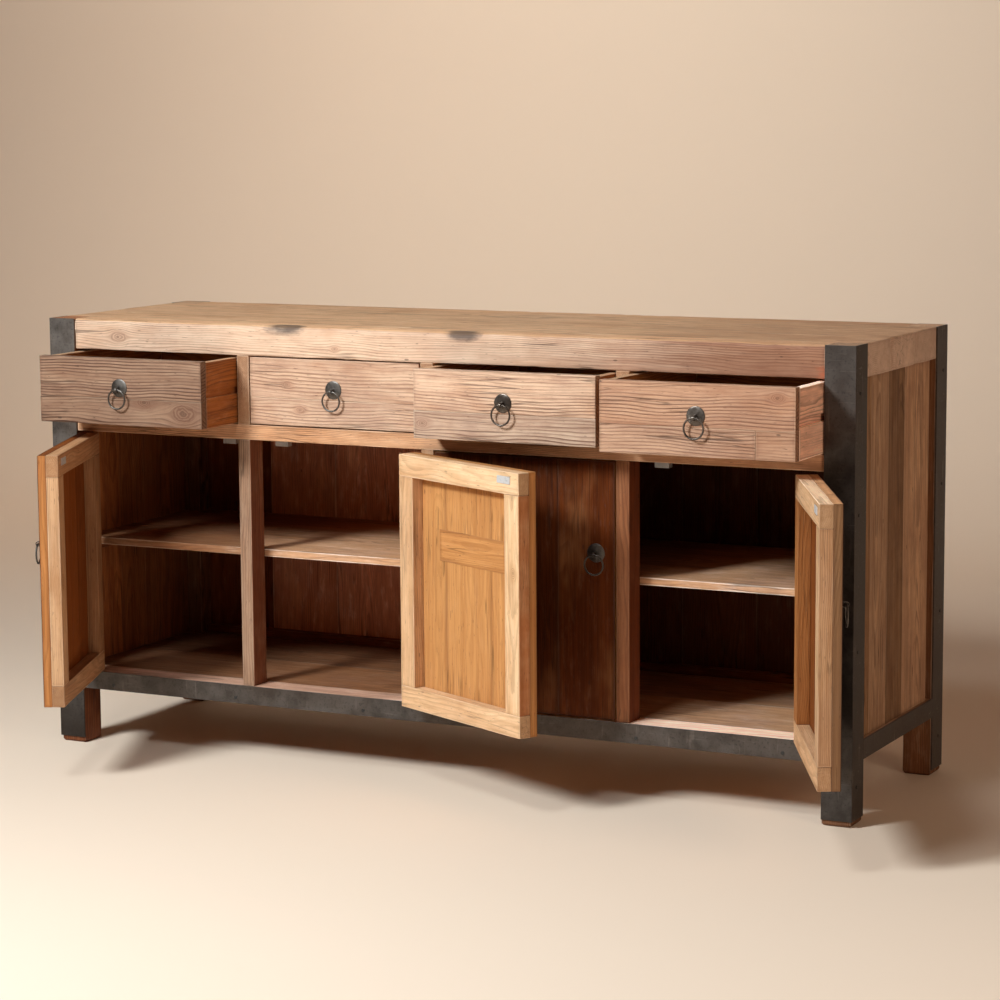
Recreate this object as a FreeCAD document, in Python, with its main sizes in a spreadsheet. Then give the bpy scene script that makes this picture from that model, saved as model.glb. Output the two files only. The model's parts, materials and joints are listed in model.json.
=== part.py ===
import FreeCAD, Part
import os
import re
import Sketcher
from FreeCAD import Placement, Rotation, Vector

# Sideboard buffet in reclaimed timber and steel angle, in millimetres.
# +X runs along the front, -Y is the front, +Z is up. The origin is on the floor, at the centre
# of the carcass footprint. Doors and drawers stand open by the "open" sizes below.

os.makedirs("parts", exist_ok=True)
doc = FreeCAD.newDocument("sideboard")

SIZES = {
    "width": (1776, "carcass width"),
    "depth": (528, "carcass depth"),
    "height": (900, "carcass height"),
    "leg_face": (61, "leg, measured along the front"),
    "leg_side": (62, "leg, measured along the side"),
    "steel": (3, "thickness of the steel angle"),
    "foot_gap": (12, "bare timber foot below the steel"),
    "foot_chamfer": (4, "chamfer round the timber foot"),
    "top_thick": (63, "thickness of the top planks"),
    "front_recess": (4, "front plane behind the steel face"),
    "end_recess": (2, "ends of the top planks behind the steel face"),
    "post_width": (28, "posts and drawer dividers"),
    "post_depth": (50, "door posts, front to back"),
    "base_low": (120, "underside of the base angle"),
    "base_top": (158, "top of the base angle and of the bottom boards"),
    "base_flange": (38, "lower flange of the base angle"),
    "bottom_thick": (18, "bottom boards"),
    "bearer_width": (40, "cross bearers under the posts"),
    "rail_low": (666, "underside of the rail below the drawers"),
    "rail_top": (697, "top of the rail below the drawers"),
    "rail_depth": (75, "rail below the drawers, front to back"),
    "back_rail_depth": (40, "rear rail, front to back"),
    "lip_tall": (18, "lip along the foot of the back"),
    "lip_depth": (20, "lip, front to back"),
    "back_thick": (15, "back planks"),
    "back_recess": (9, "back planks behind the back face"),
    "partition_thick": (18, "centre partition"),
    "panel_thick": (18, "side planks"),
    "panel_recess": (8, "side planks behind the steel face"),
    "stile_front": (47, "front stile of a side panel"),
    "stile_back": (22, "recessed back stile of a side panel"),
    "stile_recess": (8, "back stile behind the side planks"),
    "plank_one": (97, "first side plank"),
    "plank_two": (91, "second side plank"),
    "batten_tall": (40, "batten that carries an end runner"),
    "shelf_top": (435, "top of the shelves"),
    "shelf_thick": (15, "shelves"),
    "shelf_setback": (2, "shelf behind the door posts"),
    "cleat": (18, "shelf cleats, square"),
    "runner_wide": (7, "drawer runner, sideways"),
    "runner_tall": (12, "drawer runner height"),
    "runner_start": (30, "runner behind the front plane"),
    "runner_long": (440, "runner length"),
    "runner_mid": (767, "height of the runners' centre line"),
    "drawer_gap": (2.5, "gap round a drawer front"),
    "drawer_front": (20, "drawer front thickness"),
    "drawer_side": (14, "drawer side and back thickness"),
    "drawer_long": (440, "drawer, front to back"),
    "drawer_joint": (54, "height of the lower board of a drawer front"),
    "drawer_base": (6, "drawer bottom thickness"),
    "base_lift": (6, "drawer bottom above the drawer's lower edge"),
    "side_drop": (2.5, "drawer sides below the top of the front"),
    "back_drop": (9, "drawer back below the top of the front"),
    "groove_tall": (15, "runner groove in a drawer side"),
    "groove_deep": (6, "depth of that groove"),
    "drawer_1_open": (132, "drawer 1 pulled out"),
    "drawer_2_open": (0, "drawer 2 pulled out"),
    "drawer_3_open": (86, "drawer 3 pulled out"),
    "drawer_4_open": (142, "drawer 4 pulled out"),
    "door_gap": (3, "gap round a door"),
    "door_skin": (17, "front planks of a door"),
    "door_frame": (25, "frame behind the planks"),
    "door_rail": (43, "door rails, height"),
    "door_stile": (45, "door stiles, width"),
    "door_plank": (120, "outer plank of a door"),
    "pivot_proud": (8.5, "hinge pin in front of the door face"),
    "door_1_open": (67.5, "door 1 opening angle"),
    "door_2_open": (153.5, "door 2 opening angle"),
    "door_3_open": (0, "door 3 opening angle"),
    "door_4_open": (117, "door 4 opening angle"),
    "hinge_tall": (50, "hinge height"),
    "hinge_inset": (62, "hinge end from the end of the door"),
    "leaf_thick": (1.2, "hinge leaf thickness"),
    "leaf_deep": (30, "hinge leaf depth on the timber"),
    "leaf_start": (2.4, "leaf root, behind the pin's centre"),
    "leaf_clear": (5.2, "leaf notch round the other leaf's knuckle"),
    "knuckle": (4, "knuckle radius"),
    "knuckle_bore": (2.05, "knuckle bore radius"),
    "pin": (2.0, "hinge pin radius"),
    "knuckle_third": (16, "height of an outer knuckle"),
    "knuckle_gap": (0.4, "gap between knuckles"),
    "plate_radius": (18.5, "pull backplate radius"),
    "plate_thick": (2, "pull backplate thickness"),
    "eye_out": (11, "centre of the eye in front of the face"),
    "eye_drop": (2.5, "centre of the eye below the plate's centre"),
    "eye_radius": (6, "eye radius"),
    "eye_wide": (5, "eye width"),
    "eye_hole": (2.6, "hole in the eye, radius"),
    "neck_tall": (8, "neck between plate and eye"),
    "ring_radius": (19.5, "pull ring, to the wire's centre"),
    "ring_wire": (1.9, "pull ring wire radius"),
    "drawer_pull": (775, "height of a drawer pull's plate"),
    "door_pull": (485, "height of a door pull's plate"),
    "pull_inset": (39, "door pull from the free edge"),
    "strike_inset": (48, "strike and catch from the side of the bay"),
    "strike_wide": (40, "strike plate width"),
    "strike_tall": (14, "strike plate height"),
    "strike_thick": (1.5, "strike plate thickness"),
    "strike_drop": (16, "strike centre below the top of the door"),
    "catch_wide": (30, "magnetic catch width"),
    "catch_tall": (16, "magnetic catch height"),
    "catch_deep": (16, "magnetic catch depth"),
    "catch_gap": (2, "catch behind the strike's face plane"),
    "screw_head": (3.5, "screw head radius"),
    "screw_proud": (1.2, "screw head height"),
    "screw_shank": (1.8, "screw shank radius"),
    "screw_long": (22, "screw length under the head"),
    "screw_line": (24, "leg screws, behind the leg's outer corner"),
    "leg_screw_0": (75, "height of a leg's lowest screw"),
    "leg_screw_1": (330, "height of its second screw"),
    "leg_screw_2": (586, "height of its third screw"),
    "leg_screw_3": (811, "height of its highest screw"),
    "base_screw_step": (300, "from one base screw to the next"),
}

sheet = doc.addObject("Spreadsheet::Sheet", "Sizes")
for row, (alias, (value, note)) in enumerate(SIZES.items(), start=1):
    sheet.set(f"A{row}", note)
    sheet.set(f"B{row}", str(value))
    sheet.setAlias(f"B{row}", alias)
doc.recompute()


def bind(item, prop, formula):
    """Bind a property to a formula in the names of the sheet."""
    text = re.sub(r"[a-z_]\w*", lambda word: ("Sizes." if word[0] in SIZES else "") + word[0], str(formula))
    item.setExpression(prop, text)


def place(item, corner):
    for axis, formula in zip("xyz", corner):
        bind(item, f"Placement.Base.{axis}", formula)
    return item


def box(name, low, high):
    """A board between two corners, each given as three formulas."""
    board = doc.addObject("Part::Box", name)
    for prop, a, b in zip(("Length", "Width", "Height"), low, high):
        bind(board, prop, f"({b}) - ({a})")
    return place(board, low)


ALONG = {"X": Rotation(Vector(0, 1, 0), 90), "Y": Rotation(Vector(1, 0, 0), -90), "Z": Rotation()}


def rod(name, radius, length, corner, axis="Z"):
    """A round bar that starts at a point and runs along +X, +Y or +Z."""
    bar = doc.addObject("Part::Cylinder", name)
    bar.Placement = Placement(Vector(), ALONG[axis])
    bind(bar, "Radius", radius)
    bind(bar, "Height", length)
    return place(bar, corner)


def fuse(name, pieces):
    joined = doc.addObject("Part::MultiFuse", name)
    joined.Shapes = pieces
    return joined


def cut(name, base, tools):
    rest = doc.addObject("Part::Cut", name)
    rest.Base = base
    rest.Tool = tools[0] if len(tools) == 1 else fuse(name + "_tools", tools)
    return rest


def mirror(item, normal):
    """The same piece on the other side of the centre plane across X or Y."""
    other = doc.addObject("Part::Mirroring", item.Name + "_m")
    other.Source = item
    other.Normal = Vector(1, 0, 0) if normal == "X" else Vector(0, 1, 0)
    return other


def both(item, normal="X"):
    return [item, mirror(item, normal)]


def four(item):
    """A piece at the front left, and its mirror images at the other three corners."""
    front = both(item, "X")
    return front + [mirror(piece, "Y") for piece in front]


NODES = []


def node(label, pieces):
    """One named sub-part: a group of separate solids, which is what its STEP file holds."""
    group = doc.addObject("Part::Compound", "node_" + label)
    group.Links = pieces
    group.Label = label
    NODES.append(group)
    return group


def angle_bar(name, first, second, length):
    """A steel angle: flanges along +X and +Y from a square corner, extruded along +Z."""
    body = doc.addObject("PartDesign::Body", name)
    sketch = body.newObject("Sketcher::SketchObject", name + "_section")
    plane = next(item for item in body.Origin.OriginFeatures if item.Role == "XY_Plane")
    sketch.AttachmentSupport = [(plane, "")]
    sketch.MapMode = "FlatFace"
    corners = [(0, 0), (50, 0), (50, 3), (3, 3), (3, 50), (0, 50)]
    count = len(corners)
    for index, corner in enumerate(corners):
        end = corners[(index + 1) % count]
        sketch.addGeometry(Part.LineSegment(Vector(*corner, 0), Vector(*end, 0)), False)
    for index in range(count):
        sketch.addConstraint(Sketcher.Constraint("Coincident", index, 2, (index + 1) % count, 1))
        sketch.addConstraint(Sketcher.Constraint("Vertical" if index % 2 else "Horizontal", index))
    sketch.addConstraint(Sketcher.Constraint("Coincident", 0, 1, -1, 1))
    for key, line, kind, start in (("first", 0, "DistanceX", 50), ("tip", 1, "DistanceY", 3),
                                   ("second", 5, "DistanceY", 50), ("root", 4, "DistanceX", 3)):
        ends = (line, 1, line, 2) if line < 2 else (line, 2, line, 1)
        number = sketch.addConstraint(Sketcher.Constraint(kind, *ends, start))
        sketch.renameConstraint(number, key)
    for key, formula in (("first", first), ("tip", "steel"), ("second", second), ("root", "steel")):
        bind(sketch, f"Constraints.{key}", formula)
    pad = body.newObject("PartDesign::Pad", name + "_length")
    pad.Profile = sketch
    bind(pad, "Length", length)
    return body


# Places worked out from the driving sizes
LEFT = "-width/2"
FACE = "-depth/2"
FRONT = "(-depth/2 + front_recess)"
LEG_X = "(width/2 - leg_face)"
LEG_Y = "(depth/2 - leg_side)"
SLAB = "(height - top_thick)"
BACK = "(depth/2 - back_recess - back_thick)"
BAY = "((width - 2*leg_face - 3*post_width)/4)"
PANEL = "(width/2 - panel_recess - panel_thick)"
DOOR_WIDE = f"({BAY} - 2*door_gap)"
DOOR_LOW = "(base_top + door_gap)"
DOOR_TOP = "(rail_low - door_gap)"
BAYS = range(4)
POSTS = range(3)


def bay_left(number):
    return f"(leg_face - width/2 + {number}*({BAY} + post_width))"


def bay_right(number):
    return f"({bay_left(number)} + {BAY})"


# Top: a plank between the front legs, three full-length planks, and a plank between the back legs
edge_plank = box("top_edge", (f"-{LEG_X}", FRONT, SLAB), (LEG_X, f"-{LEG_Y}", "height"))
top_planks = both(edge_plank, "Y")
for number in range(3):
    low = f"{number}*2*{LEG_Y}/3 - {LEG_Y}"
    high = f"{number + 1}*2*{LEG_Y}/3 - {LEG_Y}"
    top_planks.append(box(f"top_plank_{number}", ("end_recess - width/2", low, SLAB),
                          ("width/2 - end_recess", high, "height")))
node("top_planks", top_planks)

# Legs: square timbers with a chamfered foot, each with a steel angle round its two outer faces
leg_block = box("leg_block", (f"{LEFT} + steel", f"{FACE} + steel", 0), (f"-{LEG_X}", f"-{LEG_Y}", "height"))
doc.recompute()
leg = doc.addObject("Part::Chamfer", "leg_timber")
leg.Base = leg_block
chamfer = sheet.foot_chamfer
leg.Edges = [(number, chamfer, chamfer) for number, edge in enumerate(leg_block.Shape.Edges, start=1)
             if max(vertex.Z for vertex in edge.Vertexes) < chamfer]
node("leg_timbers", four(leg))

leg_angle = place(angle_bar("leg_angle", "leg_face", "leg_side", "height - foot_gap"), (LEFT, FACE, "foot_gap"))
node("leg_angles", four(leg_angle))

# Base: steel angles between the legs, timber bearers lying in them, and the bottom boards on top
front_angle = angle_bar("front_angle", "base_flange", "base_top - base_low", f"2*{LEG_X}")
front_angle.Placement = Placement(Vector(), Rotation(Vector(1, 1, 1), 120))
place(front_angle, (f"-{LEG_X}", FACE, "base_low"))
side_angle = angle_bar("side_angle", "base_top - base_low", "base_flange", f"2*{LEG_Y}")
side_angle.Placement = Placement(Vector(), Rotation(Vector(1, 1, 1), 240))
place(side_angle, (LEFT, f"-{LEG_Y}", "base_low"))
node("base_angles", both(front_angle, "Y") + both(side_angle, "X"))

BEARER_LOW = "(base_low + steel)"
BEARER_TOP = "(base_top - bottom_thick)"
front_bearer = box("front_bearer", (f"-{LEG_X}", f"{FACE} + steel", BEARER_LOW),
                   (LEG_X, f"{FACE} + base_flange", BEARER_TOP))
side_bearer = box("side_bearer", (f"{LEFT} + steel", f"-{LEG_Y}", BEARER_LOW),
                  (f"{LEFT} + base_flange", LEG_Y, BEARER_TOP))
bearers = both(front_bearer, "Y") + both(side_bearer, "X")
for number in POSTS:
    middle = f"({bay_right(number)} + post_width/2)"
    low = (f"{middle} - bearer_width/2", f"{FACE} + base_flange", BEARER_LOW)
    high = (f"{middle} + bearer_width/2", "depth/2 - base_flange", BEARER_TOP)
    bearers.append(box(f"cross_bearer_{number}", low, high))
node("base_bearers", bearers)

edge_board = box("bottom_edge", (f"-{LEG_X}", f"{FACE} + steel", BEARER_TOP), (LEG_X, f"-{LEG_Y}", "base_top"))
bottom_boards = both(edge_board, "Y")
for number in range(2):
    low = ("steel - width/2", f"{number}*{LEG_Y} - {LEG_Y}", BEARER_TOP)
    high = ("width/2 - steel", f"{number}*{LEG_Y}", "base_top")
    bottom_boards.append(box(f"bottom_board_{number}", low, high))
node("bottom_boards", bottom_boards)

# Front frame: the rail below the drawers, the drawer dividers above it and the door posts below it
rail_board = box("rail_board", (f"-{LEG_X}", FRONT, "rail_low"), (LEG_X, f"{FRONT} + rail_depth", "rail_top"))
node("mid_rail", [rail_board])
node("drawer_dividers", [box(f"divider_{n}", (bay_right(n), FRONT, "rail_top"), (bay_left(n + 1), BACK, SLAB))
                         for n in POSTS])
node("door_posts", [box(f"post_{n}", (bay_right(n), FRONT, "base_top"),
                        (bay_left(n + 1), f"{FRONT} + post_depth", "rail_low")) for n in POSTS])
node("centre_partition", [box("partition", ("-partition_thick/2", f"{FRONT} + post_depth", "base_top"),
                              ("partition_thick/2", BACK, "rail_low"))])

# Back: vertical planks between the legs, a rail behind the drawers and a lip on the bottom boards
BACK_COUNT = 10
node("back_planks", [box(f"back_plank_{n}", (f"{n}*2*{LEG_X}/{BACK_COUNT} - {LEG_X}", BACK, "base_top"),
                         (f"{n + 1}*2*{LEG_X}/{BACK_COUNT} - {LEG_X}", f"{BACK} + back_thick", SLAB))
                     for n in range(BACK_COUNT)])
rear_rail = box("rear_rail", (f"-{LEG_X}", f"{BACK} - back_rail_depth", "rail_low"), (LEG_X, BACK, "rail_top"))
lip = box("lip", ("partition_thick/2", f"{BACK} - lip_depth", "base_top"), (LEG_X, BACK, "base_top + lip_tall"))
node("back_rails", [rear_rail] + both(lip))

# Sides: three planks, a stile at the front and a recessed stile at the back
PANEL_OUT = f"({PANEL} + panel_thick)"
steps = [f"(stile_front - {LEG_Y})"]
for plank in ("plank_one", "plank_two"):
    steps.append(f"({steps[-1]} + {plank})")
steps.append(f"({LEG_Y} - stile_back)")
side_planks = []
for number in range(3):
    side_planks += both(box(f"side_plank_{number}", (PANEL, steps[number], "base_top"),
                            (PANEL_OUT, steps[number + 1], SLAB)))
front_stile = box("front_stile", (PANEL, f"-{LEG_Y}", "base_top"), (PANEL_OUT, steps[0], SLAB))
back_stile = box("back_stile", (PANEL, steps[3], "base_top"), (f"{PANEL_OUT} - stile_recess", LEG_Y, SLAB))
node("side_panels", side_planks + both(front_stile) + both(back_stile))
batten = box("batten", (LEG_X, f"-{LEG_Y}", "runner_mid - batten_tall/2"),
             (PANEL, LEG_Y, "runner_mid + batten_tall/2"))

# Shelves, notched round the legs, on cleats
SHELF_FRONT = f"({FRONT} + post_depth + shelf_setback)"
SHELF_LOW = "(shelf_top - shelf_thick)"
CLEAT_LOW = f"({SHELF_LOW} - cleat)"
shelf_board = box("shelf_board", ("partition_thick/2", SHELF_FRONT, SHELF_LOW), (PANEL, BACK, "shelf_top"))
notches = [box(name, (LEG_X, low_y, f"{SHELF_LOW} - 1"), ("width/2", high_y, "shelf_top + 1"))
           for name, low_y, high_y in (("front_notch", f"{SHELF_FRONT} - 1", f"-{LEG_Y}"),
                                       ("back_notch", LEG_Y, "depth/2"))]
shelf_right = cut("shelf_right_board", shelf_board, notches)
node("shelves", both(shelf_right))
side_cleat = box("side_cleat", (f"{PANEL} - cleat", f"-{LEG_Y}", CLEAT_LOW), (PANEL, LEG_Y, SHELF_LOW))
wall_cleat = box("wall_cleat", ("partition_thick/2", SHELF_FRONT, CLEAT_LOW),
                 ("partition_thick/2 + cleat", BACK, SHELF_LOW))
rear_cleat = box("rear_cleat", ("partition_thick/2 + cleat", f"{BACK} - cleat", CLEAT_LOW),
                 (LEG_X, BACK, SHELF_LOW))
node("shelf_cleats", both(side_cleat) + both(wall_cleat) + both(rear_cleat))

# Drawer runners: a strip on each side of each bay; the end battens carry the outermost two
runners = both(batten)
for number in BAYS:
    for side, start in (("left", bay_left(number)), ("right", f"({bay_right(number)} - runner_wide)")):
        low = (start, f"{FRONT} + runner_start", "runner_mid - runner_tall/2")
        high = (f"{start} + runner_wide", f"{FRONT} + runner_start + runner_long", "runner_mid + runner_tall/2")
        runners.append(box(f"runner_{number}_{side}", low, high))
node("drawer_runners", runners)


def pull(name, middle, face, high):
    """A ring pull's backplate and eye on a front face, the plate centred at (middle, face, high)."""
    eye_y = f"({face} - eye_out)"
    eye_z = f"({high} - eye_drop)"
    eye_x = f"({middle} - eye_wide/2)"
    plate = rod(name + "_plate", "plate_radius", "plate_thick", (middle, f"{face} - plate_thick", high), "Y")
    eye = rod(name + "_eye", "eye_radius", "eye_wide", (eye_x, eye_y, eye_z), "X")
    neck = box(name + "_neck", (eye_x, f"{eye_y} + eye_hole", f"{eye_z} - neck_tall/2"),
               (f"{eye_x} + eye_wide", f"{face} - plate_thick/2", f"{eye_z} + neck_tall/2"))
    hole = rod(name + "_hole", "eye_hole", "3*eye_wide", (f"{eye_x} - eye_wide", eye_y, eye_z), "X")
    return cut(name + "_body", fuse(name + "_solid", [plate, eye, neck]), [hole])


def ring(name, middle, face, high):
    """The loose ring, hanging straight down from the eye."""
    loop = doc.addObject("Part::Torus", name)
    loop.Placement = Placement(Vector(), ALONG["Y"])
    bind(loop, "Radius1", "ring_radius")
    bind(loop, "Radius2", "ring_wire")
    return place(loop, (middle, f"{face} - eye_out", f"{high} - eye_drop - ring_radius"))


# Drawers, drawn shut and then pulled out
DRAWER_LOW = "(rail_top + drawer_gap)"
DRAWER_TOP = f"({SLAB} - drawer_gap)"
for number in BAYS:
    name = f"drawer_{number + 1}"
    low_x = f"({bay_left(number)} + drawer_gap)"
    high_x = f"({bay_right(number)} - drawer_gap)"
    inner_low = f"({low_x} + drawer_side)"
    inner_high = f"({high_x} - drawer_side)"
    behind = f"({FRONT} + drawer_front)"
    end = f"({FRONT} + drawer_long)"
    joint = f"({DRAWER_LOW} + drawer_joint)"
    boards = [box(name + "_lower", (low_x, FRONT, DRAWER_LOW), (high_x, behind, joint)),
              box(name + "_upper", (low_x, FRONT, joint), (high_x, behind, DRAWER_TOP))]
    case = []
    for side, start, groove_x in (("left", low_x, low_x), ("right", inner_high, f"({high_x} - groove_deep)")):
        board = box(f"{name}_{side}", (start, behind, DRAWER_LOW),
                    (f"{start} + drawer_side", end, f"{DRAWER_TOP} - side_drop"))
        groove = box(f"{name}_{side}_groove", (groove_x, f"{behind} - 1", "runner_mid - groove_tall/2"),
                     (f"{groove_x} + groove_deep", f"{end} + 1", "runner_mid + groove_tall/2"))
        case.append(cut(f"{name}_{side}_board", board, [groove]))
    floor = f"({DRAWER_LOW} + base_lift + drawer_base)"
    case.append(box(name + "_back", (inner_low, f"{end} - drawer_side", floor),
                    (inner_high, end, f"{DRAWER_TOP} - back_drop")))
    under = f"{DRAWER_LOW} + base_lift"
    case.append(box(name + "_bottom", (inner_low, behind, under), (inner_high, end, floor)))
    middle = f"({bay_left(number)} + {BAY}/2)"
    handle = pull(name + "_handle", middle, FRONT, "drawer_pull")
    loop = ring(name + "_loop", middle, FRONT, "drawer_pull")
    for part, pieces in (("front", boards), ("case", case), ("pull", [handle]), ("ring", [loop])):
        bind(node(f"{name}_{part}", pieces), "Placement.Base.y", f"-{name}_open")


def outward(side, near, far):
    """Two distances from the hinge pin along the door, as low and high X for a door on that side of the pin."""
    return (near, far) if side > 0 else (f"-({far})", f"-({near})")


def hinge_leaf(name, side, near, far, low, outer):
    """A hinge leaf with its knuckles, the pin's centre line on the local Z axis.

    The post's leaf carries the two outer knuckles, and the door's leaf the middle one.
    """
    near_x, far_x = outward(side, near, far)
    plate = box(name + "_leaf", (near_x, "leaf_start", low),
                (far_x, "pivot_proud + leaf_deep", f"{low} + hinge_tall"))
    first = f"({low} + knuckle_third)"
    second = f"({low} + hinge_tall - knuckle_third)"
    if outer:
        spans = [(low, "knuckle_third"), (second, "knuckle_third")]
        gaps = [(first, second)]
    else:
        spans = [(f"({first} + knuckle_gap)", "hinge_tall - 2*knuckle_third - 2*knuckle_gap")]
        gaps = [(f"({low} - 1)", f"({first} + knuckle_gap)"),
                (f"({second} - knuckle_gap)", f"({low} + hinge_tall + 1)")]
    notches = [box(f"{name}_notch_{n}", (f"{near_x} - 1", "leaf_start - 1", start),
                   (f"{far_x} + 1", "leaf_clear", end)) for n, (start, end) in enumerate(gaps)]
    knuckles = [rod(f"{name}_knuckle_{n}", "knuckle", tall, (0, 0, start))
                for n, (start, tall) in enumerate(spans)]
    solid = fuse(name + "_solid", [cut(name + "_plate", plate, notches)] + knuckles)
    bore = rod(name + "_bore", "knuckle_bore", "hinge_tall + 4", (0, 0, f"{low} - 2"))
    return cut(name + "_body", solid, [bore])


# Doors, drawn shut about the hinge pin and then turned open; side is 1 for a door hung on its left edge
HANGING = ((1, bay_left(0)), (-1, bay_right(1)), (1, bay_left(2)), (-1, bay_right(3)))
HINGE_LOWS = {"low": f"({DOOR_LOW} + hinge_inset)", "high": f"({DOOR_TOP} - hinge_inset - hinge_tall)"}
PIVOT_Y = f"({FRONT} - pivot_proud)"
SKIN_BACK = "(pivot_proud + door_skin)"
FRAME_BACK = f"({SKIN_BACK} + door_frame)"
EDGE = f"(door_gap + {DOOR_WIDE})"
LOW_RAIL = f"({DOOR_LOW} + door_rail)"
TOP_RAIL = f"({DOOR_TOP} - door_rail)"
STRIKE_X = f"({BAY} - strike_inset)"
STRIKE_Z = f"({DOOR_TOP} - strike_drop)"
SPLITS = ("door_gap", "(door_gap + door_plank)", f"({EDGE} - door_plank)", EDGE)
DOOR_PIECES = {
    "planks": [(SPLITS[n], SPLITS[n + 1], "pivot_proud", SKIN_BACK, DOOR_LOW, DOOR_TOP) for n in range(3)],
    "frame": [("door_gap", EDGE, SKIN_BACK, FRAME_BACK, DOOR_LOW, LOW_RAIL),
              ("door_gap", EDGE, SKIN_BACK, FRAME_BACK, TOP_RAIL, DOOR_TOP),
              ("door_gap", "door_gap + door_stile", SKIN_BACK, FRAME_BACK, LOW_RAIL, TOP_RAIL),
              (f"{EDGE} - door_stile", EDGE, SKIN_BACK, FRAME_BACK, LOW_RAIL, TOP_RAIL)],
    "strike": [(f"{STRIKE_X} - strike_wide/2", f"{STRIKE_X} + strike_wide/2", FRAME_BACK,
                f"{FRAME_BACK} + strike_thick", f"{STRIKE_Z} - strike_tall/2", f"{STRIKE_Z} + strike_tall/2")],
}
post_leaves = []
pins = []
for number, (side, post_face) in enumerate(HANGING):
    name = f"door_{number + 1}"
    parts = {part: [] for part in DOOR_PIECES}
    for part, boards in DOOR_PIECES.items():
        for n, (near, far, low_y, high_y, low_z, high_z) in enumerate(boards):
            low_x, high_x = outward(side, near, far)
            parts[part].append(box(f"{name}_{part}_{n}", (low_x, low_y, low_z), (high_x, high_y, high_z)))
    parts["hinges"] = []
    for height, low in HINGE_LOWS.items():
        door_leaf = hinge_leaf(f"{name}_{height}_inner", side, "door_gap - leaf_thick", "door_gap", low, False)
        parts["hinges"].append(door_leaf)
        post_leaf = hinge_leaf(f"{name}_{height}_outer", side, "0", "leaf_thick", low, True)
        post_leaves.append(place(post_leaf, (post_face, PIVOT_Y, 0)))
        pins.append(rod(f"{name}_{height}_pin", "pin", "hinge_tall", (post_face, PIVOT_Y, low)))
    pull_x = f"{side}*({EDGE} - pull_inset)"
    parts["pull"] = [pull(name + "_handle", pull_x, "pivot_proud", "door_pull")]
    parts["ring"] = [ring(name + "_loop", pull_x, "pivot_proud", "door_pull")]
    for part, pieces in parts.items():
        group = node(f"{name}_{part}", pieces)
        group.Placement = Placement(Vector(), Rotation(Vector(0, 0, 1), 1))
        place(group, (post_face, PIVOT_Y, 0))
        bind(group, "Placement.Rotation.Angle", f"{-side}*{name}_open")
node("post_hinge_leaves", post_leaves)
node("hinge_pins", pins)

# Magnetic catches under the rail, one behind each door's free edge
catches = []
CATCH_Y = f"({FRONT} + door_skin + door_frame + catch_gap)"
for number, (side, post_face) in enumerate(HANGING):
    middle = f"({post_face} + {side}*({BAY} - strike_inset))"
    catches.append(box(f"catch_{number}", (f"{middle} - catch_wide/2", CATCH_Y, "rail_low - catch_tall"),
                       (f"{middle} + catch_wide/2", f"{CATCH_Y} + catch_deep", "rail_low")))
node("magnetic_catches", catches)


def screw(name, corner, axis):
    """A wood screw driven along +X (axis 0) or +Y (axis 1) into a face, with its low round head left proud."""
    head = list(corner)
    head[axis] = f"{corner[axis]} - screw_proud"
    letter = "XY"[axis]
    return fuse(name, [rod(name + "_head", "screw_head", "screw_proud", head, letter),
                       rod(name + "_shank", "screw_shank", "screw_long", corner, letter)])


# Screws: four down each leg's side flange, and six along the front and back base angles
SCREW_COUNT = 4
screws = []
for number in range(SCREW_COUNT):
    spot = (LEFT, f"{FACE} + screw_line", f"leg_screw_{number}")
    screws += four(screw(f"leg_fixing_{number}", spot, 0))
BASE_SCREWS = 6
for number in range(BASE_SCREWS):
    along = f"({number} - ({BASE_SCREWS} - 1)/2)*base_screw_step"
    spot = (along, FACE, f"({BEARER_LOW} + {BEARER_TOP})/2")
    screws += both(screw(f"base_fixing_{number}", spot, 1), "Y")
node("frame_screws", screws)

doc.recompute()

failed = [item.Name for item in doc.Objects if "Invalid" in item.State or "Error" in item.State]
if failed:
    raise RuntimeError(f"failed objects: {failed}")
for group in NODES:
    if group.Shape.isNull() or not group.Shape.isValid() or not group.Shape.Solids:
        raise RuntimeError(f"bad shape: {group.Label}")
for group in NODES:
    group.Shape.exportStep(f"parts/{group.Label}.step")
print(len(NODES), "nodes,", sum(len(group.Shape.Solids) for group in NODES), "solids")
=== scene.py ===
import json
import math
import random

import bmesh
import bpy
from mathutils import Matrix, Vector, noise

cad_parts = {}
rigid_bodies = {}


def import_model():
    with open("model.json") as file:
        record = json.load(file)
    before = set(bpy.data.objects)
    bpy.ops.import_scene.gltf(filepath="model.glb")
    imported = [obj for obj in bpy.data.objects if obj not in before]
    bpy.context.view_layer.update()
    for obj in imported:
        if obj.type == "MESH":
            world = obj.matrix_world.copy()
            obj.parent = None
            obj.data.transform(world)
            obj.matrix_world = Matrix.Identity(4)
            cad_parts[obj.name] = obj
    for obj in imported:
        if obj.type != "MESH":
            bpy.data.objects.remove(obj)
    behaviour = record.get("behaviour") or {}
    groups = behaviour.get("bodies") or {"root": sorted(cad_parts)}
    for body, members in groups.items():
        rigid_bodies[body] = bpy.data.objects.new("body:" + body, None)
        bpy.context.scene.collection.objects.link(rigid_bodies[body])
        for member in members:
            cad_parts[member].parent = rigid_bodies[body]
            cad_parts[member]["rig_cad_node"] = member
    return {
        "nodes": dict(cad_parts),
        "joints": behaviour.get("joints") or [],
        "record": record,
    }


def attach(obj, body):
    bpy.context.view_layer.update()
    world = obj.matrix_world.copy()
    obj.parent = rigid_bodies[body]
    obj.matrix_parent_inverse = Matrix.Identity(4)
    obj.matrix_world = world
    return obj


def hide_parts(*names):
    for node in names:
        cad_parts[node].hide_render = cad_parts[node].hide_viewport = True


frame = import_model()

# Sideboard buffet: worn pine boards, blackened steel and ring pulls around the CAD frame, in metres.

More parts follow.
